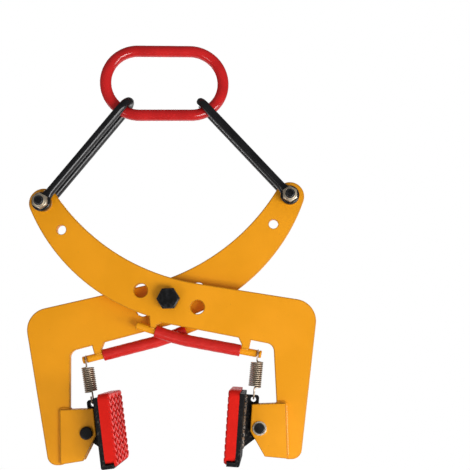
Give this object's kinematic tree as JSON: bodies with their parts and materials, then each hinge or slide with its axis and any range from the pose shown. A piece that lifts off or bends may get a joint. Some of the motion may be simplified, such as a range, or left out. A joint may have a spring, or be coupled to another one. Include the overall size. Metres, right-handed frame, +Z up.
{
  "type": "stone lifting clamp",
  "caption": "Scissor clamp for lifting stone: crossed plate arms hung by bent-bar links from an oval master link, closing sprung rubber-faced pads on the load.",
  "frame": {"origin": "the crane hook's seat: the middle of the master link's upper bar, on its inside", "axes": "+X across the jaws from the left pad to the right pad, +Y from the front arm to the rear arm, +Z up"},
  "size_m": [0.3938, 0.125, 0.5741],
  "materials": {
    "orange_coat": "satin powder coat",
    "red_coat": "gloss paint",
    "black_coat": "satin black",
    "zinc": "zinc plated",
    "red_rubber": "moulded, matt",
    "spring_steel": "oiled wire"
  },
  "bodies": {
    "master_link": {"master_link": "red_coat"},
    "left_link": {"left_link": "black_coat", "left_link_bolt": "black_coat", "left_link_nut": "zinc", "left_link_spacers": "black_coat"},
    "right_link": {"right_link": "black_coat", "right_link_bolt": "black_coat", "right_link_nut": "zinc", "right_link_spacers": "black_coat"},
    "front_arm": {"front_arm": "orange_coat", "front_handle_bar": "orange_coat", "front_handle_sleeve": "red_rubber", "right_outer_cheek": "orange_coat", "right_inner_cheek": "orange_coat", "right_pad_pin": "black_coat", "right_pin_ring": "zinc", "right_spring": "spring_steel", "pivot_bolt": "black_coat", "pivot_nut": "zinc", "pivot_washers": "black_coat", "pivot_spacer": "black_coat"},
    "right_pad": {"right_pad_lug": "black_coat", "right_pad_plate": "black_coat", "right_pad_rubber": "red_rubber"},
    "rear_arm": {"rear_arm": "orange_coat", "rear_handle_bar": "orange_coat", "rear_handle_sleeve": "red_rubber", "left_outer_cheek": "orange_coat", "left_inner_cheek": "orange_coat", "left_pad_pin": "black_coat", "left_pin_ring": "zinc", "left_spring": "spring_steel"},
    "left_pad": {"left_pad_lug": "black_coat", "left_pad_plate": "black_coat", "left_pad_rubber": "red_rubber"}
  },
  "joints": [
    {"name": "left_link_swing", "type": "hinge", "parent": "master_link", "child": "left_link", "pos_m": [-0.05859, -0.0085, -0.07604], "axis": [0, -1, 0], "range_deg": [-10, 18.25]},
    {"name": "front_arm_swing", "type": "hinge", "parent": "left_link", "child": "front_arm", "pos_m": [-0.168, -0.0085, -0.20141], "axis": [0, 1, 0], "range_deg": [-19, 34.75]},
    {"name": "arm_pivot", "type": "hinge", "parent": "front_arm", "child": "rear_arm", "pos_m": [0, 0, -0.33771], "axis": [0, -1, 0], "range_deg": [-18, 33]},
    {"name": "right_link_swing", "type": "hinge", "parent": "rear_arm", "child": "right_link", "pos_m": [0.168, 0.0085, -0.20141], "axis": [0, 1, 0], "range_deg": [-19, 34.75]},
    {"name": "right_pad_swing", "type": "hinge", "parent": "front_arm", "child": "right_pad", "pos_m": [0.1165, -0.0085, -0.51381], "axis": [0, -1, 0], "range_deg": [-10, 30], "stiffness_Nm_per_rad": 5, "springref_deg": -2.29, "deforming": ["right_spring"]},
    {"name": "left_pad_swing", "type": "hinge", "parent": "rear_arm", "child": "left_pad", "pos_m": [-0.1165, 0.0085, -0.51381], "axis": [0, 1, 0], "range_deg": [-10, 30], "stiffness_Nm_per_rad": 5, "springref_deg": -2.29, "deforming": ["left_spring"]}
  ],
  "couplings": [
    {"joint": "left_link_swing", "follows": "arm_pivot", "ratio": 0.55},
    {"joint": "front_arm_swing", "follows": "arm_pivot", "ratio": 1.05},
    {"joint": "right_link_swing", "follows": "arm_pivot", "ratio": 1.05}
  ]
}
